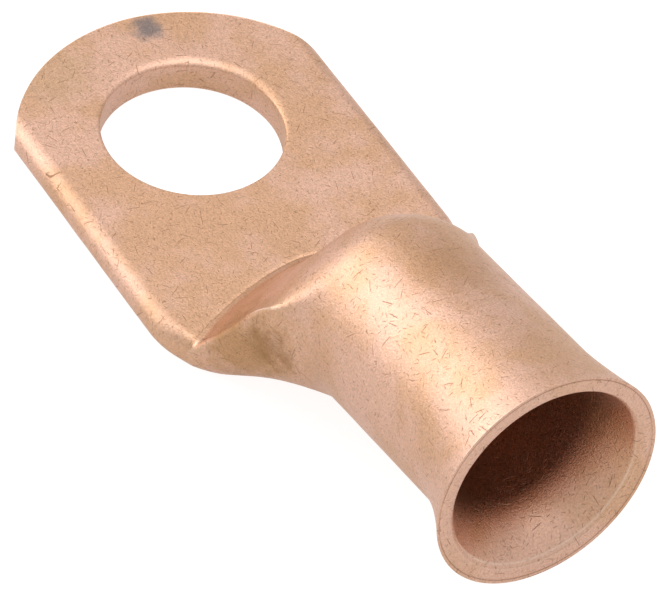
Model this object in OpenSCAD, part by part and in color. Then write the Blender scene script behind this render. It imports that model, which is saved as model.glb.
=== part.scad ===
// Copper cable lug: one piece of tube, left round for the cable, opened out at
// the mouth, and pressed flat at the other end into a tongue with a stud hole.
// Millimetres. The origin is the centre of the stud hole on the underside of the
// tongue, +X runs to the mouth of the barrel and +Z is up.

/* [Tube] */
// outside diameter of the tube, which the barrel keeps
barrel_d = 14.7; // [12:0.1:18]
// wall of the tube; the tongue is two walls thick
tube_wall = 1.3; // [0.9:0.05:1.8]

/* [Tongue] */
// width of the tongue over its folded edges
tongue_width = 25; // [21:0.5:32]
// from the stud hole to the end of the tongue
tip_reach = 12.2; // [10:0.1:18]
// how much more than half the width the radius of the end is
tip_flatness = 1.2; // [0.5:0.1:8]

/* [Stud hole] */
// diameter of the hole for the stud
stud_hole_d = 13.5; // [6:0.1:16]
// radius of the rolled edge round the top of the hole
hole_edge_radius = 0.4; // [0.2:0.05:1]
// how far the centre line of the lug lies to the side of the hole
hole_off_centre = 0.4; // [0:0.1:1]

/* [Neck] */
// from the stud hole to the crease in the middle of the tongue
crease_reach = 14.7; // [11:0.1:20]
// how much further back the crease lies at the sides of the tongue
crease_sweep = 3.9; // [0:0.1:5]
// from the crease to where the full bore begins
neck_length = 12.8; // [12:0.1:18]
// length over which the top climbs from the middle of the crease to the barrel
climb_length = 12.1; // [9:0.1:13]
// the same at the sides of the tongue, where the shoulders of the neck are steeper
side_climb_length = 6.1; // [5:0.1:10]
// from the crease to where the sides of the tongue begin to draw in
shoulder_setback = 0.3; // [-1:0.1:1]
// length over which the sides draw in to the barrel
shoulder_length = 13; // [11:0.1:16.5]
// from the crease to where the underside of the barrel leaves the tongue's plane
heel_setback = 4.3; // [3.5:0.1:6]
// length over which the underside rounds out behind the heel
heel_length = 9.6; // [7:0.1:11]

/* [Barrel] */
// how steeply the barrel rises from the tongue, in degrees
barrel_lean = 9.3; // [6:0.1:15]
// length of the full bore, from the neck to the start of the flare
bore_length = 14; // [10:0.5:40]

/* [Mouth] */
// length of the flare
flare_length = 5.1; // [3:0.1:8]
// how far the mouth spreads past the barrel all round
flare_spread = 1.45; // [0.8:0.05:3]
// width of the flat rim at the mouth
rim_width = 1.4; // [0.8:0.1:2]
// how far the middle of the mouth lies below the axis of the barrel
mouth_drop = 1.3; // [0:0.1:1.8]
// tilt of the mouth, in degrees
mouth_tilt = 5.5; // [0:0.1:15]

/* [Hidden] */
// steps along half of the flat underside, round a folded edge, and in half a loop
flat_steps = 9;
fold_steps = 8;
half_steps = 2 * flat_steps + fold_steps;
// stations before the crease, along the neck, along the flare and in the pocket
lead_steps = 3;
neck_steps = 26;
flare_steps = 8;
pocket_steps = 12;

barrel_r = barrel_d / 2;
bore_r = barrel_r - tube_wall;
mouth_r = barrel_r + flare_spread;
mouth_bore_r = mouth_r - rim_width;
stud_r = stud_hole_d / 2;
tip_radius = tongue_width / 2 + tip_flatness;

tongue_thickness = 2 * tube_wall;
fold_r = tongue_thickness / 2;
flat_half = tongue_width / 2 - fold_r;
fold_length = PI * fold_r;
half_girth = 2 * flat_half + fold_length;

shoulder_reach = crease_reach + shoulder_setback;
heel_reach = crease_reach + heel_setback;
bore_reach = crease_reach + neck_length;
flare_start = bore_reach + bore_length * cos(barrel_lean);
mouth_reach = flare_start + flare_length;
// the axis of the barrel leaves this point, right above the heel
heel = [heel_reach - barrel_r * sin(barrel_lean), barrel_r * cos(barrel_lean)];
// the tongue has drawn in nowhere before the first, nor is it round before the second
neck_start = min(crease_reach, shoulder_reach) - crease_sweep;
neck_end = shoulder_reach + shoulder_length + 1;

// shape of the crease, and of the folds at the two ends of the neck
crease_bend = 1.6;
climb_foot = 0.07;
climb_brow = 0.57;
climb_taper = 3.5;
shoulder_foot = 0.22;
shoulder_brow = 0.83;
heel_foot = 0.2;
heel_brow = 0.8;
flare_bend = 1.7;
// which part of the girth climbs with the top, by its height round the barrel
climbing_from = -0.33;
climbing_band = 0.52;

// the pocket behind the bore closes to a slit of this size, this far from the crease
slit_inset = 3.5;
slit_width = tongue_width - 2 * slit_inset;
slit_height = 0.3;
slit_setback = 2;
// its roof climbs this much later than the outside, and over this length at its sides
roof_setback = 0.9;
pocket_side_climb = 11;
// the bore is reamed out this much, and runs on this far at both ends
bore_relief = 0.1;
bore_runout = 0.3;
inside_r = bore_r - bore_relief;

// the rolled edge of the stud hole runs out through the top at this angle
roll_angle = 75;
roll_steps = 6;

// overlap of cutting tools past the faces they cut
over = 1;
smooth_fn = 96;

function clamp(t) = min(1, max(0, t));
function ease(t) = let (u = clamp(t)) u * u * (3 - 2 * u);
function mix(a, b, t) = a + (b - a) * t;

// 0 to 1 along a straight flank, rounded up to foot and again from brow on
function flank(t, foot, brow) =
    let (u = clamp(t), slope = 2 / (1 + brow - foot))
    u < foot ? slope * u * u / (2 * foot)
    : u < brow ? slope * (u - foot / 2)
    : 1 - slope * (1 - u) * (1 - u) / (2 * (1 - brow));

function axis_height(x) = heel.y + (x - heel.x) * tan(barrel_lean);

// distance along half the girth of the tongue, from the middle of the underside
function girth(i) =
    i <= flat_steps ? flat_half * i / flat_steps
    : i <= flat_steps + fold_steps
        ? flat_half + fold_length * (i - flat_steps) / fold_steps
    : flat_half + fold_length
        + flat_half * (i - flat_steps - fold_steps) / flat_steps;

// the flattened tube: straight above and below, with half-round folds
function flat_point(s) =
    s <= flat_half ? [s, 0]
    : s >= flat_half + fold_length ? [half_girth - s, tongue_thickness]
    : let (a = (s - flat_half) / fold_r * 180 / PI)
      [flat_half + fold_r * sin(a), fold_r * (1 - cos(a))];

function crease(y) =
    crease_reach + crease_sweep * pow(min(1, abs(y) / flat_half), crease_bend);

// one loop of the tube: half is worked out and the other half mirrored
function loop(half) =
    concat(half, [for (i = [half_steps - 1 : -1 : 1]) [half[i].x, -half[i].y, half[i].z]]);

// half of a round section of radius r with its middle at x and z, leaning back by lean
function ring_half(x, z, r, lean) = [
    for (i = [0 : half_steps])
    let (a = 180 * girth(i) / half_girth - 90)
    [x - r * sin(a) * sin(lean), r * cos(a), z + r * sin(a) * cos(lean)]
];

// half a section of the neck: the flattened loop, width by thickness, climbs, swells
// and draws in to the round one of radius r; the climb starts setback after the crease
// and is over sooner towards the sides, which leaves a shoulder on each.
// The section is bowed like the crease as far as that, and straightens by the barrel
function neck_half(station, r, width, thickness, setback, side_climb) = [
    for (i = [0 : half_steps])
    let (
        s = girth(i),
        flat = flat_point(s),
        a = 180 * s / half_girth - 90,
        bow = 1 - clamp((station - crease_reach) / (neck_end - crease_reach)),
        x = station + bow * (crease(flat.x) - crease_reach),
        y = flat.x * width / tongue_width,
        z = fold_r + (flat.y - fold_r) * thickness / tongue_thickness,
        lean = barrel_lean * ease((x - crease_reach) / shoulder_length),
        top = ease((sin(a) - climbing_from) / climbing_band),
        outward = pow(min(1, abs(flat.x) / flat_half), climb_taper),
        climb = flank((x - setback - crease(flat.x)) / mix(climb_length, side_climb, outward),
            climb_foot, climb_brow),
        swell = flank((x - heel_reach) / heel_length, heel_foot, heel_brow),
        rise = mix(swell, climb, top),
        draw = flank((x - shoulder_reach) / shoulder_length, shoulder_foot, shoulder_brow)
    )
    [x - r * sin(a) * sin(lean),
     mix(y, r * cos(a), draw),
     mix(z, axis_height(x) + r * sin(a) * cos(lean), rise)]
];

function outside_loop(x) =
    loop(neck_half(x, barrel_r, tongue_width, tongue_thickness, 0, side_climb_length));

// the inside of the neck, t from 0 at the slit to 1 at the bore, where it is quite round
function pocket_loop(t) =
    let (x = mix(crease_reach + slit_setback, bore_reach, t))
    loop(mix(neck_half(x, inside_r, slit_width, slit_height, roof_setback, pocket_side_climb),
        ring_half(x, axis_height(x), inside_r, barrel_lean), ease(2 * t - 1)));

// a loop of the flare, t from 0 at the barrel to 1 at the mouth
function flare_loop(t, r_from, r_to) =
    let (x = mix(flare_start, mouth_reach, t), w = pow(t, flare_bend))
    loop(ring_half(x, axis_height(x) - w * mouth_drop, mix(r_from, r_to, w),
        mix(barrel_lean, mouth_tilt, w)));

// faces that close a loop of n points, from each point up to the one above it
function closing(n) =
    let (h = n / 2, q = n / 4)
    [for (j = [-q : q - 1])
        let (a = (j + n) % n, b = (j + 1 + n) % n)
        each [if (j < q - 1) [a, b, h - 1 - j], if (j > -q) [a, h - 1 - j, h - j]]];

// a skin over equal loops, closed at both ends
module skin(loops) {
    n = len(loops[0]);
    last = (len(loops) - 1) * n;
    polyhedron(
        points = [for (l = loops) each l],
        faces = [
            each closing(n),
            for (f = closing(n)) [last + f[2], last + f[1], last + f[0]],
            for (k = [0 : n : last - n], i = [0 : n - 1])
                let (a = k + i, b = k + (i + 1) % n)
                each [[a, a + n, b], [b, a + n, b + n]]
        ],
        convexity = 6
    );
}

// outside of the lug: the tongue, the neck, the barrel and its flare in one skin
module tube_outside() {
    skin(concat(
        [outside_loop(-tip_reach - crease_sweep - over)],
        [for (k = [0 : lead_steps - 1])
            outside_loop(mix(neck_start, crease_reach, k / lead_steps))],
        [for (k = [0 : neck_steps])
            outside_loop(mix(crease_reach, neck_end, k / neck_steps))],
        [for (k = [0 : flare_steps]) flare_loop(k / flare_steps, barrel_r, mouth_r)]
    ));
}

// round die that crops the end of the tongue
module cropping_die() {
    centre = tip_radius - tip_reach;
    half = max(tongue_width / 2, mouth_r) + over;
    translate([0, 0, -mouth_r])
    linear_extrude(axis_height(mouth_reach) + 3 * mouth_r) {
        translate([centre, -hole_off_centre])
        circle(tip_radius, $fn = 2 * smooth_fn);
        translate([centre, -half])
        square([mouth_reach + mouth_r - centre, 2 * half]);
    }
}

// inside of the tube in one skin: the pocket closed at the crease, the bore and the
// flare, run on half a step past the mouth
module tube_inside() {
    skin(concat(
        [for (k = [0 : pocket_steps]) pocket_loop(k / pocket_steps)],
        [flare_loop(0, inside_r, mouth_bore_r)],
        [for (k = [0.5 : flare_steps + 0.5])
            flare_loop(k / flare_steps, inside_r, mouth_bore_r)]
    ));
}

// true bore for the cable, as long as the straight part of the tube
module cable_bore() {
    translate([flare_start, 0, axis_height(flare_start)])
    rotate([0, -90 - barrel_lean, 0])
    translate([0, 0, -bore_runout])
    cylinder(bore_length + 2 * bore_runout, r = bore_r, $fn = smooth_fn);
}

// the stud hole, with metal rolled over round its top
module stud_hole() {
    straight = tongue_thickness - hole_edge_radius;
    translate([0, -hole_off_centre, 0])
    rotate_extrude($fn = smooth_fn)
    polygon([
        [0, -over],
        [stud_r, -over],
        for (k = [0 : roll_steps])
            let (a = roll_angle * k / roll_steps)
            [stud_r + hole_edge_radius * (1 - cos(a)), straight + hole_edge_radius * sin(a)],
        [stud_r + hole_edge_radius * (1 - cos(roll_angle)) + over,
         straight + hole_edge_radius * sin(roll_angle) + over * cos(roll_angle) / sin(roll_angle)],
        [0, straight + hole_edge_radius * sin(roll_angle) + over * cos(roll_angle) / sin(roll_angle)]
    ]);
}

module lug() {
    color("peru")
    translate([0, hole_off_centre, 0])
    difference() {
        intersection() {
            tube_outside();
            cropping_die();
        }
        stud_hole();
        tube_inside();
        cable_bore();
    }
}

lug();
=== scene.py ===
import math

import bmesh
import bpy
import numpy as np
from mathutils import Matrix, Vector


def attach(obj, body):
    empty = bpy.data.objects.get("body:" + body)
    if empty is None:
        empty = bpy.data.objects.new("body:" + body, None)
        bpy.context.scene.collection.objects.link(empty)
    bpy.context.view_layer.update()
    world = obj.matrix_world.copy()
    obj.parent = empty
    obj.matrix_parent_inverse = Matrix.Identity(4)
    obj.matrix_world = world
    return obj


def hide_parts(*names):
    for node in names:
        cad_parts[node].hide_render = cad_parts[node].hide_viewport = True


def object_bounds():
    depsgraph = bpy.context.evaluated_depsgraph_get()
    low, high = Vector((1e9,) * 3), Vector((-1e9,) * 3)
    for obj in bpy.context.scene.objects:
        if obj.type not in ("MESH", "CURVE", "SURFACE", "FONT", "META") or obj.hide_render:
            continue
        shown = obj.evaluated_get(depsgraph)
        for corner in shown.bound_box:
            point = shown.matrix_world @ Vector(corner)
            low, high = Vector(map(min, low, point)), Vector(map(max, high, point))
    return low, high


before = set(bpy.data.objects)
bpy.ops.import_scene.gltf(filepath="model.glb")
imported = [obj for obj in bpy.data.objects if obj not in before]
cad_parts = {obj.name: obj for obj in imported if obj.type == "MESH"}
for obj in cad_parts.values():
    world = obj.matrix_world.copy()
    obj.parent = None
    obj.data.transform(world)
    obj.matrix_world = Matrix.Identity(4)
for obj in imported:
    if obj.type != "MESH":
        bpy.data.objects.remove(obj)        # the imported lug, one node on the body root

cadLow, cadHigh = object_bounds()
mm = 0.001
print("frame loaded", [round(v / mm, 1) for v in cadHigh - cadLow])


viewpoint = {
    "place": (0.24927, -0.16877, 0.29842),
    "right": (0.50697, 0.85657, 0.09631),
    "down": (0.65574, -0.31074, -0.68808),
    "ahead": (-0.55946, 0.41199, -0.71922),
    "lens": 311.37, "sensor": 36, "clip": (0.01, 10),
}


def makeCamera(v):
    # the camera's own axes are right, up and back
    data = bpy.data.cameras.new("camera")
    data.lens = v["lens"]
    data.sensor_width = v["sensor"]
    data.clip_start, data.clip_end = v["clip"]
    cam = bpy.data.objects.new("camera", data)
    bpy.context.scene.collection.objects.link(cam)
    axes = [Vector(v["right"]), -Vector(v["down"]), -Vector(v["ahead"])]
    turn = Matrix(axes).transposed().to_4x4()
    cam.matrix_world = Matrix.Translation(v["place"]) @ turn
    bpy.context.scene.camera = cam


# sizes of the lug in millimetres, the same as its CAD source has
lug = {
    "barrelRadius": 7.35, "wall": 1.3,
    "tongueWidth": 25.0, "tipReach": 12.2, "tipRadius": 13.7,
    "holeRadius": 6.75, "offCentre": 0.4,
    # the hole's edge is rolled in far more on one side: width and depth there, least size,
    # the bearing of the sharp side in degrees, and how late the roll grows away from it
    "rollWidth": 0.95, "rollDepth": 0.42, "rollLeast": 0.1, "sharpSide": -34.0,
    "rollPower": 1.4,
    # the hole's lower edge: distance out and height
    "brokenEdge": [(0.0, 0.25), (0.015, 0.1), (0.05, 0.0)],
    "crease": 14.7, "creaseSweep": 3.9, "creaseBend": 1.6,
    "neckLength": 12.8, "climbLength": 12.1, "sideClimb": 6.1, "climbTaper": 3.5,
    "shoulder": 15.0, "shoulderLength": 13.0, "heel": 19.0, "heelLength": 9.6,
    "lean": 9.3, "boreLength": 14.0,
    "flareLength": 5.1, "flareSpread": 1.45, "rim": 1.4, "drop": 1.3, "tilt": 5.5,
    "climb": (0.07, 0.57), "draw": (0.22, 0.83), "swell": (0.2, 0.8),
    "flareBend": 1.7, "climbingFrom": -0.33, "climbingBand": 0.52,
    "slitWidth": 18.0, "slitHeight": 0.3, "slitSetback": 2.0, "roofSetback": 0.9,
    "pocketClimb": 11.0,
    # the rim, with its groove: distance in from the outer edge, and back from the mouth
    "rimProfile": [(0.02, 0.05), (0.06, 0.015), (0.12, 0), (0.19, 0), (0.25, 0.03),
                   (0.31, 0.06), (0.37, 0.03), (0.43, 0.01), (0.6, 0), (0.8, 0), (1.0, 0),
                   (1.14, 0.01), (1.25, 0.04), (1.33, 0.1)],
    # how far short of the mouth the flare's outside and inside stop for the rim
    "outerEdge": 0.12, "innerEdge": 0.26,
    # grid: steps along half the flat, round a fold, along the tongue's side and through the
    # tip, from the hole out on the roof and on the floor, and down the hole's roll and wall
    "flatSteps": 48, "foldSteps": 14, "sideSteps": 80, "tipSteps": 6,
    "roofSteps": 36, "floorSteps": 14, "rollSteps": 14, "wallSteps": 7,
    # share by which the rays round the hole crowd at both ends
    "rayCrowding": 0.5,
    # steps close behind the crease and that zone's length, then along the neck, the barrel
    # and the flare, and back along the funnel, the bore and the pocket
    "creaseSteps": 17, "creaseZone": 1.6, "neckSteps": 55, "barrelSteps": 27,
    "flareSteps": 26, "funnelSteps": 23, "boreSteps": 13, "pocketSteps": 29,
    # points nearer than this are one, edges shorter are dropped; a fold in degrees is sharp
    "weldGap": 0.0002, "leastEdge": 0.00001, "sharpFrom": 38,
}

thick = 2 * lug["wall"]
foldR = lug["wall"]
flatHalf = lug["tongueWidth"] / 2 - foldR
foldLength = math.pi * foldR
halfGirth = 2 * flatHalf + foldLength
lean = math.radians(lug["lean"])
tilt = math.radians(lug["tilt"])
heelX = lug["heel"] - lug["barrelRadius"] * math.sin(lean)
heelZ = lug["barrelRadius"] * math.cos(lean)
boreReach = lug["crease"] + lug["neckLength"]
flareStart = boreReach + lug["boreLength"] * math.cos(lean)
mouthReach = flareStart + lug["flareLength"]
neckEnd = lug["shoulder"] + lug["shoulderLength"] + 1
mouthRadius = lug["barrelRadius"] + lug["flareSpread"]


def mix(a, b, t):
    # from a to b by the share t
    return a + (b - a) * t


def ease(t):
    # three t squared less two t cubed, held to 0..1
    u = np.clip(t, 0, 1)
    return u * u * (3 - 2 * u)


def flank(t, ends):
    # 0 to 1 along a straight slope, a parabola up to the foot and another from the brow
    foot, brow = ends
    u = np.clip(t, 0, 1)
    slope = 2 / (1 + brow - foot)
    low = slope * u * u / (2 * foot)
    high = 1 - slope * (1 - u) ** 2 / (2 * (1 - brow))
    return np.where(u < foot, low, np.where(u < brow, slope * (u - foot / 2), high))


def axisHeight(x):
    # the barrel's axis is a straight line through the heel, sloping by the lean
    return heelZ + (x - heelX) * math.tan(lean)


def girthMarks():
    # distances along half the girth: the floor, the fold and the roof of the flat tube
    f, g = lug["flatSteps"], lug["foldSteps"]
    floor = np.linspace(0, flatHalf, f + 1)[:-1]
    fold = np.linspace(flatHalf, flatHalf + foldLength, g + 1)[:-1]
    roof = np.linspace(flatHalf + foldLength, halfGirth, f + 1)
    return np.concatenate([floor, fold, roof])


def flatPoint(s):
    # the stadium: straight floor, half-round fold, straight roof
    a = np.clip((s - flatHalf) / foldR, 0, math.pi)
    y = np.where(s <= flatHalf, s, np.where(s >= flatHalf + foldLength, halfGirth - s,
                                            flatHalf + foldR * np.sin(a)))
    return y, foldR * (1 - np.cos(a))


def creaseAt(y):
    # the crease runs back from the middle as the 1.6th power of the distance to the side
    bend = np.minimum(1, np.abs(y) / flatHalf) ** lug["creaseBend"]
    return lug["crease"] + lug["creaseSweep"] * bend


def ringHalf(x, z, r, leanBack, s):
    # a round half section: the angle grows with the distance along the girth
    a = np.pi * s / halfGirth - np.pi / 2
    return np.stack([x - r * np.sin(a) * np.sin(leanBack),
                     r * np.cos(a) + 0 * x,
                     z + r * np.sin(a) * np.cos(leanBack)], -1)


def neckHalf(station, r, width, thickness, setback, sideClimb, s, bowed=True):
    # the flat section's roof climbs, soonest at the sides, its floor swells and its sides
    # draw in to the round
    y0, z0 = flatPoint(s)
    a = np.pi * s / halfGirth - np.pi / 2
    bow = 1 - np.clip((station - lug["crease"]) / (neckEnd - lug["crease"]), 0, 1)
    x = station + (bow * (creaseAt(y0) - lug["crease"]) if bowed else 0 * s)
    y = y0 * width / lug["tongueWidth"]
    z = foldR + (z0 - foldR) * thickness / thick
    back = lean * ease((x - lug["crease"]) / lug["shoulderLength"])
    top = ease((np.sin(a) - lug["climbingFrom"]) / lug["climbingBand"])
    outward = np.minimum(1, y0 / flatHalf) ** lug["climbTaper"]
    length = mix(lug["climbLength"], sideClimb, outward)
    climb = flank((x - setback - creaseAt(y0)) / length, lug["climb"])
    swell = flank((x - lug["heel"]) / lug["heelLength"], lug["swell"])
    rise = mix(swell, climb, top)
    draw = flank((x - lug["shoulder"]) / lug["shoulderLength"], lug["draw"])
    return np.stack([x - r * np.sin(a) * np.sin(back),
                     mix(y, r * np.cos(a), draw),
                     mix(z, axisHeight(x) + r * np.sin(a) * np.cos(back), rise)], -1)


def wholeLoops(half):
    # mirror each half section across the lug, leaving out the two points on its middle
    other = half[:, -2:0:-1] * np.array([1, -1, 1])
    return np.concatenate([half, other], 1)


def outsideLoops(station, s):
    # the outer skin of the neck and barrel as whole loops
    return wholeLoops(neckHalf(station, lug["barrelRadius"], lug["tongueWidth"], thick, 0,
                               lug["sideClimb"], s[None, :]))


def rollSize(ring):
    # width and depth of the rolled edge, growing away from the sharp side of the hole
    turned = ring - math.radians(lug["sharpSide"])
    away = (0.5 - 0.5 * np.cos(turned)) ** lug["rollPower"]
    width = mix(lug["rollLeast"], lug["rollWidth"], away)
    return width, mix(lug["rollLeast"], lug["rollDepth"], away)


def flareLoops(t, rFrom, rTo, s):
    # the flare opens, drops and tilts with the 1.7th power of the way along it
    t = np.asarray(t)[:, None]
    w = np.clip(t, 0, None) ** lug["flareBend"]
    x = mix(flareStart, mouthReach, t)
    return wholeLoops(ringHalf(x, axisHeight(x) - w * lug["drop"], mix(rFrom, rTo, w),
                               mix(lean, tilt, w), s[None, :]))


def tipX(y):
    # the round die that crops the tongue; the hole's centre line is its own
    r = lug["tipRadius"]
    return r - lug["tipReach"] - np.sqrt(r * r - (y + lug["offCentre"]) ** 2)


def gridFaces(rows, columns, start, closed):
    # quads between neighbouring rows, round to the first column again where it is closed
    wide = columns if closed else columns - 1
    i, j = np.meshgrid(np.arange(rows - 1), np.arange(wide), indexing="ij")
    k = (j + 1) % columns
    quad = np.stack([i * columns + j, i * columns + k,
                     (i + 1) * columns + k, (i + 1) * columns + j], -1)
    return quad.reshape(-1, 4) + start


class Skin:
    # patches of grid points, put together as one mesh
    def __init__(self):
        self.points, self.faces, self.count = [], [], 0

    def add(self, grid, closed=False):
        rows, columns = grid.shape[:2]
        self.faces.append(gridFaces(rows, columns, self.count, closed))
        self.points.append(grid.reshape(-1, 3))
        self.count += rows * columns


def roundHole(boundary, ring, radius, height, steps):
    # straight rays from the hole's ring out to the boundary, closer at both ends
    t = np.linspace(0, 1, steps + 1)
    t = mix(t, (1 - np.cos(np.pi * t)) / 2, lug["rayCrowding"])[:, None, None]
    inner = np.stack([radius * np.cos(ring), radius * np.sin(ring) - lug["offCentre"],
                      0 * ring + height], -1)
    return mix(inner[None], boundary[None], t)


def tongueSkin(skin, s):
    # the flat tongue: folds along its sides, the cropped tip, roof and floor round the hole
    f, g, steps = lug["flatSteps"], lug["foldSteps"], lug["sideSteps"]
    y0, z0 = flatPoint(s)
    creaseRow = outsideLoops(np.array([[lug["crease"]]]), s)[0]
    yRound = np.concatenate([y0, -y0[-2:0:-1]])
    zRound = np.concatenate([z0, z0[-2:0:-1]])
    tipRow = np.stack([tipX(yRound), yRound, zRound], -1)
    n = len(tipRow)
    folds = {}
    t = np.linspace(0, 1, steps + 1)[:, None]
    for side in (1, -1):
        mark = s[f:f + g + 1][None, :]
        yFold = y0[f:f + g + 1][None, :]
        x = mix(tipX(side * yFold), creaseAt(yFold), t)
        grid = neckHalf(x, lug["barrelRadius"], lug["tongueWidth"], thick, 0,
                        lug["sideClimb"], mark, False)
        folds[side] = grid * np.array([1, side, 1])
        skin.add(folds[side])
    roof = np.arange(f + g, 3 * f + g + 1)
    floor = np.arange(f, -f - 1, -1) % n
    edges = []
    for row, end in ((roof, -1), (floor, 0)):
        edges.append(np.concatenate([creaseRow[row][:-1], folds[-1][::-1, end][:-1],
                                     tipRow[row[::-1]][:-1], folds[1][:, end][:-1]]))
    ring = np.arctan2(edges[0][:, 1] + lug["offCentre"], edges[0][:, 0])
    roofRing = lug["holeRadius"] + rollSize(ring)[0]
    floorRing = lug["holeRadius"] + lug["brokenEdge"][-1][0]
    skin.add(roundHole(edges[0], ring, roofRing, thick, lug["roofSteps"]), True)
    skin.add(roundHole(edges[1], ring, floorRing, 0, lug["floorSteps"]), True)
    holeSkin(skin, ring)
    c = np.arange(-f - g // 2, f + g // 2 + 1)
    low, high = tipRow[c % n], tipRow[(2 * f + g - c) % n]
    v = np.linspace(0, 1, lug["tipSteps"] + 1)[:, None, None]
    skin.add(mix(low[None], high[None], v))
    return creaseRow


def holeSkin(skin, ring):
    # a wall turned round the hole: rolled in from the roof on a quarter ellipse, straight,
    # then its broken edge
    width, depth = rollSize(ring)
    a = np.linspace(0, np.pi / 2, lug["rollSteps"] + 1)[:, None]
    outward, height = np.array(lug["brokenEdge"]).T[..., None]
    down = np.linspace(0, 1, lug["wallSteps"] + 1)[1:, None]
    straight = mix(thick - depth, height[0], down)
    r = np.concatenate([lug["holeRadius"] + width * (1 - np.sin(a)),
                        lug["holeRadius"] + 0 * straight,
                        lug["holeRadius"] + outward[1:] + 0 * ring])
    z = np.concatenate([thick - depth * (1 - np.cos(a)), straight, height[1:] + 0 * ring])
    grid = np.stack([r * np.cos(ring), r * np.sin(ring) - lug["offCentre"], z], -1)
    skin.add(grid, True)


def tubeSkin(skin, s):
    # loops along the neck and barrel, the flare, over the rim and back in to the slit
    r, wall = lug["barrelRadius"], lug["wall"]
    near = np.linspace(lug["crease"], lug["crease"] + lug["creaseZone"],
                       lug["creaseSteps"] + 1)
    neck = np.linspace(near[-1], neckEnd, lug["neckSteps"] + 1)[1:]
    barrel = np.linspace(neckEnd, flareStart, lug["barrelSteps"] + 1)[1:]
    station = np.concatenate([near, neck, barrel])[:, None]
    outside = outsideLoops(station, s)
    edge = 1 - lug["outerEdge"] / lug["flareLength"]
    flare = flareLoops(np.linspace(0, edge, lug["flareSteps"] + 1)[1:], r, mouthRadius, s)
    skin.add(np.concatenate([outside, flare]), True)

    mouth = axisHeight(mouthReach) - lug["drop"]
    rows = [flare[-1]]
    for inward, back in lug["rimProfile"]:
        loop = wholeLoops(ringHalf(np.array([[mouthReach]]), mouth, mouthRadius - inward,
                                   tilt, s[None, :]))[0]
        rows.append(loop - back * np.array([math.cos(tilt), 0, math.sin(tilt)]))
    inner = 1 - lug["innerEdge"] / lug["flareLength"]
    bore, mouthBore = r - wall, mouthRadius - lug["rim"]
    funnel = flareLoops(np.linspace(inner, 0, lug["funnelSteps"] + 1), bore, mouthBore, s)
    skin.add(np.concatenate([np.array(rows), funnel[:1]]), True)

    # inside: the straight bore, then the pocket that narrows to the slit under the neck
    along = np.linspace(flareStart, boreReach, lug["boreSteps"] + 1)[1:, None]
    straight = wholeLoops(ringHalf(along, axisHeight(along), bore, lean, s[None, :]))
    t = np.linspace(1, 0, lug["pocketSteps"] + 1)[1:, None]
    x = mix(lug["crease"] + lug["slitSetback"], boreReach, t)
    bent = neckHalf(x, bore, lug["slitWidth"], lug["slitHeight"], lug["roofSetback"],
                    lug["pocketClimb"], s[None, :])
    plain = ringHalf(x, axisHeight(x), bore, lean, s[None, :])
    pocket = wholeLoops(mix(bent, plain, ease(2 * t - 1)[..., None]))
    skin.add(np.concatenate([funnel, straight, pocket]), True)
    f, g, n = lug["flatSteps"], lug["foldSteps"], pocket.shape[1]
    c = np.arange(-f - g // 2, f + g // 2 + 1)
    skin.add(np.stack([pocket[-1][c % n], pocket[-1][(2 * f + g - c) % n]]))


def latticeNoise(points, size, seed):
    # random values on a repeating lattice of the given size, eased between its points
    cells = wear["latticeCells"]
    table = np.random.default_rng(seed).uniform(-1, 1, (cells, cells, cells))
    cell = points / size
    low = np.floor(cell).astype(int)
    t = cell - low
    t = t * t * (3 - 2 * t)
    total = np.zeros(len(points))
    for corner in range(8):
        step = np.array([corner & 1, corner >> 1 & 1, corner >> 2 & 1])
        weight = np.prod(np.where(step, t, 1 - t), 1)
        a, b, c = ((low + step) % cells).T
        total += weight * table[a, b, c]
    return total


def makeLug():
    # the patches welded into one closed mesh, then its wear, its bends and its shading
    s = girthMarks()
    skin = Skin()
    tongueSkin(skin, s)
    tubeSkin(skin, s)
    points = np.concatenate(skin.points) + np.array([0, lug["offCentre"], 0])
    mesh = bpy.data.meshes.new("lugSkin")
    mesh.from_pydata(points * mm, [], np.concatenate(skin.faces).tolist())
    work = bmesh.new()
    work.from_mesh(mesh)
    bmesh.ops.remove_doubles(work, verts=work.verts, dist=lug["weldGap"] * mm)
    bmesh.ops.dissolve_degenerate(work, edges=work.edges, dist=lug["leastEdge"] * mm)
    bmesh.ops.recalc_face_normals(work, faces=work.faces)
    openEdges = sum(not e.is_manifold for e in work.edges)
    work.to_mesh(mesh)
    work.free()
    print("lug skin:", len(mesh.vertices), "points,", len(mesh.polygons), "faces,",
          openEdges, "open edges")
    roughen(mesh)
    markBends(mesh)
    mesh.shade_smooth()
    mesh.set_sharp_from_angle(angle=math.radians(lug["sharpFrom"]))
    piece = bpy.data.objects.new("lugTube", mesh)
    bpy.context.scene.collection.objects.link(piece)
    return piece


def fetch(collection, name, width, kind=float):
    # one property of every element as an array of rows
    values = np.empty(len(collection) * width, kind)
    collection.foreach_get(name, values)
    return values.reshape(-1, width)


def roughen(mesh):
    # soft dents of a few sizes and the fine groove of the crease, always inwards so that
    # the lug keeps within its box
    points, normals = fetch(mesh.vertices, "co", 3), fetch(mesh.vertices, "normal", 3)
    at = points / mm
    depth = sum(deep * (1 + latticeNoise(at, size, seed))
                for size, deep, seed in wear["dents"])
    past = at[:, 0] - creaseAt(at[:, 1] - lug["offCentre"])
    top = ease((at[:, 2] - wear["grooveFrom"] * thick) / foldR)
    cut = wear["grooveDepth"] * np.exp(-(past / wear["grooveWidth"]) ** 2)
    depth += cut * top * (at[:, 2] < wear["grooveTo"] * thick)
    moved = points - normals * (depth * mm)[:, None]
    mesh.vertices.foreach_set("co", np.clip(moved, cadLow, cadHigh).ravel())
    mesh.update()


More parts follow.
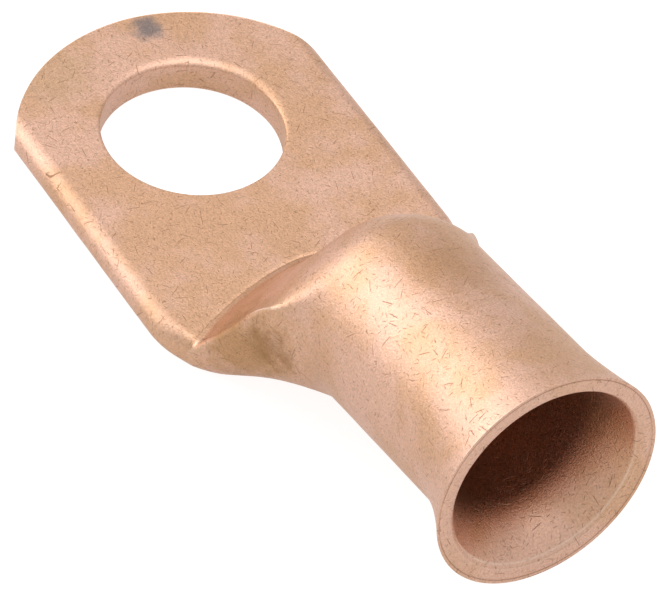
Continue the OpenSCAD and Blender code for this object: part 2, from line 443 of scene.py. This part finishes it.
def markBends(mesh):
    # how sharply the surface bends at each point: its rises over its neighbours, summed,
    # over their summed squared distances; edges are above nought, hollows below
    points, normals = fetch(mesh.vertices, "co", 3), fetch(mesh.vertices, "normal", 3)
    ends = fetch(mesh.edges, "vertices", 2, np.int32)
    n = len(points)
    total, square = np.zeros((n, 3)), np.zeros(n)
    for here, there in (ends.T, ends[:, ::-1].T):
        step = points[there] - points[here]
        for axis in range(3):
            total[:, axis] += np.bincount(here, step[:, axis], n)
        square += np.bincount(here, (step ** 2).sum(1), n)
    rise = -(total * normals).sum(1) / np.maximum(square, 1e-12) * mm
    attribute = mesh.attributes.new("bend", "FLOAT", "POINT")
    limit = wear["bendLimit"]
    attribute.data.foreach_set("value", np.clip(rise, -limit, limit))


# dents as (size, depth, seed) in mm; the groove along the crease, and the heights it runs
# between in thicknesses of the tongue; the largest bend that is told apart, per mm
wear = {
    "dents": [(5.3, 0.022, 3), (2.1, 0.009, 5), (0.8, 0.003, 9)], "latticeCells": 32,
    "grooveDepth": 0.07, "grooveWidth": 0.13, "grooveFrom": 0.6, "grooveTo": 1.3,
    "bendLimit": 2,
}


lugPiece = makeLug()
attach(lugPiece, "root")
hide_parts("lug")
print("lug made")


class Graph:
    # short ways to lay down the nodes of one tree
    def __init__(self, tree):
        self.nodes, self.links = tree.nodes, tree.links

    def put(self, value, socket):
        if isinstance(value, bpy.types.NodeSocket):
            self.links.new(value, socket)
        elif value is not None:
            socket.default_value = value

    def node(self, kind, *values, **settings):
        made = self.nodes.new(kind if kind[:4] == "Node" else "ShaderNode" + kind)
        for name, value in settings.items():
            setattr(made, name, value)
        for value, socket in zip(values, made.inputs):
            self.put(value, socket)
        return made

    def math(self, operation, *values, clamp=False):
        return self.node("Math", *values, operation=operation, use_clamp=clamp).outputs[0]

    def vector(self, operation, *values):
        made = self.node("VectorMath", *values, operation=operation)
        single = operation in ("LENGTH", "DOT_PRODUCT", "DISTANCE")
        return made.outputs["Value" if single else "Vector"]

    def scaled(self, vector, scale):
        made = self.node("VectorMath", vector, operation="SCALE")
        self.put(scale, made.inputs["Scale"])
        return made.outputs["Vector"]

    def step(self, value, low, high, start=0.0, end=1.0):
        # a smooth step from start to end while the value goes from low to high
        made = self.node("MapRange", value, low, high, start, end)
        made.interpolation_type = "SMOOTHSTEP"
        return made.outputs["Result"]

    def color(self, amount, a, b, blend="MIX"):
        # the Mix node keeps its two colours in inputs 6 and 7 and their result in output 2
        made = self.node("Mix", data_type="RGBA", blend_type=blend)
        self.put(amount, made.inputs[0])
        self.put(a, made.inputs[6])
        self.put(b, made.inputs[7])
        return made.outputs[2]

    def noise(self, vector, scale, detail=2.0, roughness=0.5):
        made = self.node("TexNoise", vector)
        for name, value in (("Scale", scale), ("Detail", detail), ("Roughness", roughness)):
            self.put(value, made.inputs[name])
        return made.outputs["Fac"]

    def group(self, tree, *values):
        made = self.nodes.new("ShaderNodeGroup")
        made.node_tree = tree
        for value, socket in zip(values, made.inputs):
            self.put(value, socket)
        return made.outputs


def newGroup(name, inputs, outputs):
    # an empty group with its sockets, given as (name, kind, default)
    tree = bpy.data.node_groups.new(name, "ShaderNodeTree")
    for label, kind, value in inputs:
        socket = tree.interface.new_socket(label, in_out="INPUT",
                                           socket_type="NodeSocket" + kind)
        if value is not None:
            socket.default_value = value
    for label, kind in outputs:
        tree.interface.new_socket(label, in_out="OUTPUT", socket_type="NodeSocket" + kind)
    graph = Graph(tree)
    return tree, graph, graph.node("NodeGroupInput"), graph.node("NodeGroupOutput")


# share of a mark's width that is fully dark and where it ends, and of its half length
# that is fully dark
scratchLook = {"core": 0.25, "edge": 0.6, "fullLength": 0.5}


def makeScratches():
    # one short straight mark in each random cell, turned at random in the surface's plane:
    # dark where the distance to its line is within its width and along it within its length
    tree, g, given, out = newGroup("shortScratches", [
        ("Vector", "Vector", None), ("Normal", "Vector", None), ("Size", "Float", 1.0),
        ("Length", "Float", 0.8), ("Width", "Float", 0.06), ("Keep", "Float", 0.5)],
        [("Mask", "Float")])
    at, normal, size, length, width, keep = given.outputs[:6]
    scale = g.math("DIVIDE", 1.0, size)
    inCells = g.scaled(at, scale)
    cell = g.node("TexVoronoi", inCells)
    cell.inputs["Scale"].default_value = 1
    away = g.scaled(g.vector("SUBTRACT", inCells, cell.outputs["Position"]), size)
    turn = g.vector("SUBTRACT", cell.outputs["Color"], (0.5, 0.5, 0.5))

    def flat(vector):
        return g.vector("SUBTRACT", vector, g.scaled(normal, g.vector("DOT_PRODUCT", vector,
                                                                      normal)))

    way = g.vector("NORMALIZE", flat(turn))
    away = flat(away)
    along = g.vector("DOT_PRODUCT", away, way)
    aside = g.vector("LENGTH", g.vector("SUBTRACT", away, g.scaled(way, along)))
    half = g.math("MULTIPLY", length, 0.5)
    core = g.math("MULTIPLY", width, scratchLook["core"])
    line = g.step(aside, core, g.math("MULTIPLY", width, scratchLook["edge"]), 1, 0)
    full = g.math("MULTIPLY", half, scratchLook["fullLength"])
    ends = g.step(g.math("ABSOLUTE", along), full, half, 1, 0)
    chance = g.node("TexWhiteNoise", cell.outputs["Position"]).outputs["Value"]
    kept = g.math("LESS_THAN", chance, keep)
    mask = g.math("MULTIPLY", g.math("MULTIPLY", line, ends), kept)
    g.put(mask, out.inputs[0])
    return tree


# noises as (scale per mm, detail, roughness), and the values between which a pit deepens
mottleLook = {
    "grain": (6.5, 3, 0.65), "pits": (3.4, 2, 0.55), "clouds": (0.16, 3, 0.6),
    "pitRange": (0.64, 0.73),
}


def makeMottle():
    # fine grain, pits where a small noise passes its threshold, and slow clouds
    tree, g, given, out = newGroup("mottle", [("Vector", "Vector", None)], [
        ("Grain", "Float"), ("Pits", "Float"), ("Clouds", "Float")])
    at = given.outputs[0]
    g.put(g.noise(at, *mottleLook["grain"]), out.inputs[0])
    pits = g.noise(at, *mottleLook["pits"])
    g.put(g.step(pits, *mottleLook["pitRange"]), out.inputs[1])
    g.put(g.noise(at, *mottleLook["clouds"]), out.inputs[2])
    return tree


# the edge's noise as (scale per mm, detail, roughness), how far it shifts the edge, and
# the share of the radius within which the spot is full
spotLook = {"noise": (0.9, 4, 0.65), "ragged": 1.3, "full": 0.25}


def makeSpot():
    # a soft ragged spot: one at its centre, falling to nought at its radius
    tree, g, given, out = newGroup("softSpot", [
        ("Vector", "Vector", None), ("Centre", "Vector", None), ("Radius", "Float", 1.0)],
        [("Mask", "Float")])
    at, centre, radius = given.outputs[:3]
    far = g.math("DIVIDE", g.vector("DISTANCE", at, centre), radius)
    ragged = g.math("MULTIPLY_ADD", g.noise(at, *spotLook["noise"]), spotLook["ragged"],
                    -spotLook["ragged"] / 2)
    g.put(g.step(g.math("ADD", far, ragged), spotLook["full"], 1.0, 1, 0), out.inputs[0])
    return tree


# linear colours; places and sizes in mm on the lug
copper = {
    "pink": (0.80, 0.50, 0.37, 1), "brown": (0.72, 0.43, 0.27, 1),
    "dark": (0.30, 0.15, 0.085, 1), "pale": (0.95, 0.74, 0.60, 1),
    # between these cloud values pink turns to brown
    "cloudRange": (0.4, 0.62),
    # the grain's share of the shade and the shade without it; shares of the other marks
    "grainShade": 0.9, "leastShade": 0.55,
    "pitShare": 0.55, "markShare": 0.6, "smallMarkShare": 0.75,
    # bends at which an edge starts and is full, and at which a hollow's painted shade is
    # full and starts, per mm
    "edgeRange": (0.12, 0.6), "edgeShare": 0.5,
    "hollowShadeRange": (-0.5, -0.12), "hollowShadeShare": 0.6,
    # marks: cell size, length, width and the share of cells that has one
    "smallMarks": (0.55, 0.42, 0.055, 0.5), "longMarks": (1.5, 1.1, 0.06, 0.4),
    "longMarksShift": (3.1, 7.7, 1.9),
    "roughness": 0.28, "grainRoughness": 0.25, "markRoughness": 0.15,
    "bumpStrength": 0.6, "bumpDistance": 0.05, "markBump": -0.5,
    # stains, and one painted dark reflection: centre, radius, colour, strength
    "stainsAndPaintedShade": [
        ((22.5, -9.0, 5.0), 5.0, (0.50, 0.27, 0.11, 1), 0.75),
        ((24.5, -8.5, 6.5), 2.6, (0.34, 0.17, 0.07, 1), 0.55),
        # painted shade: a darker brown on the barrel's top standing in for the reflection
        # of something dark, not a stain
        ((31.0, 1.5, 16.0), 5.5, (0.58, 0.32, 0.17, 1), 0.55),
        ((-9.5, -6.5, 2.6), 4.5, (0.60, 0.38, 0.20, 1), 0.5),
        ((-10.6, 2.0, 2.6), 1.6, (0.20, 0.19, 0.20, 1), 0.8),
    ],
}


def makeCopper(c):
    # pink and brown by the clouds, stained, with one painted dark reflection on the
    # barrel's top, shaded by the grain, darkened in pits and marks, with painted shade in
    # hollows, and paler on edges; the grain also roughens and bumps it
    mat = bpy.data.materials.new("bareCopper")
    mat.use_nodes = True
    g = Graph(mat.node_tree)
    shader = g.nodes["Principled BSDF"]
    coords = g.node("TexCoord")
    at = g.scaled(coords.outputs["Object"], 1 / mm)
    normal = g.node("NewGeometry").outputs["Normal"]
    bend = g.node("Attribute", attribute_name="bend").outputs["Fac"]

    mottle = g.group(makeMottle(), at)
    grain, pits, clouds = mottle["Grain"], mottle["Pits"], mottle["Clouds"]
    scratches = makeScratches()
    small = g.group(scratches, at, normal, *c["smallMarks"])["Mask"]
    shifted = g.vector("ADD", at, c["longMarksShift"])
    long = g.group(scratches, shifted, normal, *c["longMarks"])["Mask"]
    marks = g.math("MAXIMUM", g.math("MULTIPLY", small, c["smallMarkShare"]), long)

    color = g.color(g.step(clouds, *c["cloudRange"]), c["pink"], c["brown"])
    spot = makeSpot()
    # real stains, and one painted dark reflection on the barrel's top, laid over the colour
    for centre, radius, stainAndShadeColor, strength in c["stainsAndPaintedShade"]:
        mask = g.group(spot, at, centre, radius)["Mask"]
        color = g.color(g.math("MULTIPLY", mask, strength), color, stainAndShadeColor)
    shade = g.math("MULTIPLY_ADD", grain, c["grainShade"], c["leastShade"])
    gray = g.node("CombineColor", shade, shade, shade).outputs[0]
    color = g.color(1.0, color, gray, "MULTIPLY")
    color = g.color(g.math("MULTIPLY", pits, c["pitShare"]), color, c["dark"])
    color = g.color(g.math("MULTIPLY", marks, c["markShare"]), color, c["dark"])
    edge = g.step(bend, *c["edgeRange"])
    color = g.color(g.math("MULTIPLY", edge, c["edgeShare"]), color, c["pale"])
    # painted shade: hollows are darkened toward the dark colour where shade would fall
    hollowShade = g.step(bend, *c["hollowShadeRange"], 1, 0)
    color = g.color(g.math("MULTIPLY", hollowShade, c["hollowShadeShare"]), color, c["dark"])

    rough = g.math("MULTIPLY_ADD", grain, c["grainRoughness"], c["roughness"])
    rough = g.math("MULTIPLY_ADD", marks, c["markRoughness"], rough)
    bump = g.node("Bump")
    bump.inputs["Strength"].default_value = c["bumpStrength"]
    bump.inputs["Distance"].default_value = c["bumpDistance"] * mm
    height = g.math("MULTIPLY_ADD", marks, c["markBump"], grain)
    g.put(height, bump.inputs["Height"])
    g.put(color, shader.inputs["Base Color"])
    g.put(rough, shader.inputs["Roughness"])
    g.put(bump.outputs[0], shader.inputs["Normal"])
    shader.inputs["Metallic"].default_value = 1
    return mat


lugPiece.data.materials.append(makeCopper(copper))
print("copper made")


# metres; the floor glows more to the camera than to the lug's reflections
studio = {
    "floorSize": 4.0, "floorColor": (0.35, 0.35, 0.35, 1),
    "sky": 0.70, "floorSeen": 0.85, "floorMirrored": 0.50,
    # softboxes: direction from the lug, width and height in degrees, brightness
    "lamps": [
        ("keyHigh", (-0.74, -0.33, 0.59), 32, 30, 1.75),
        ("keyLow", (-0.75, -0.60, 0.28), 30, 28, 1.70),
        ("topLight", (-0.12, 0.12, 0.98), 44, 34, 1.7),
    ],
    "lampDistance": 0.8, "aim": (0.018, 0, 0.006),
}


def makeFloor():
    # a plain square under the lug that still takes its shadow
    size = studio["floorSize"]
    mesh = bpy.data.meshes.new("floor")
    corners = [(-size, -size), (size, -size), (size, size), (-size, size)]
    mesh.from_pydata([(x, y, cadLow.z) for x, y in corners], [], [(0, 1, 2, 3)])
    floor = bpy.data.objects.new("floor", mesh)
    bpy.context.scene.collection.objects.link(floor)
    mat = bpy.data.materials.new("paleFloor")
    mat.use_nodes = True
    g = Graph(mat.node_tree)
    shader = g.nodes["Principled BSDF"]
    shader.inputs["Base Color"].default_value = studio["floorColor"]
    shader.inputs["Roughness"].default_value = 1
    shader.inputs["Specular IOR Level"].default_value = 0
    shader.inputs["Emission Color"].default_value = (1, 1, 1, 1)
    seen = g.node("LightPath").outputs["Is Camera Ray"]
    g.put(g.math("MULTIPLY_ADD", seen, studio["floorSeen"] - studio["floorMirrored"],
                 studio["floorMirrored"]), shader.inputs["Emission Strength"])
    floor.data.materials.append(mat)


def makeLamp(name, direction, width, height, brightness):
    # power is pi times the area times the brightness
    data = bpy.data.lights.new(name, "AREA")
    data.shape = "RECTANGLE"
    reach = studio["lampDistance"]
    data.size = 2 * reach * math.tan(math.radians(width / 2))
    data.size_y = 2 * reach * math.tan(math.radians(height / 2))
    data.energy = math.pi * data.size * data.size_y * brightness
    lamp = bpy.data.objects.new(name, data)
    bpy.context.scene.collection.objects.link(lamp)
    towards = Vector(direction).normalized()
    lamp.location = Vector(studio["aim"]) + towards * reach
    lamp.rotation_mode = "QUATERNION"
    lamp.rotation_quaternion = towards.to_track_quat("Z", "Y")


def makeWorld(strength):
    # white to the camera, and of the given strength to everything else
    world = bpy.data.worlds.new("studio")
    world.use_nodes = True
    g = Graph(world.node_tree)
    back = g.nodes["Background"]
    back.inputs["Color"].default_value = (1, 1, 1, 1)
    seen = g.node("LightPath").outputs["Is Camera Ray"]
    g.put(g.math("MULTIPLY_ADD", seen, 1 - strength, strength), back.inputs["Strength"])
    bpy.context.scene.world = world


makeFloor()
makeWorld(studio["sky"])
for lampSettings in studio["lamps"]:
    makeLamp(*lampSettings)
makeCamera(viewpoint)
bpy.context.scene.view_settings.view_transform = "Standard"
print("studio made")
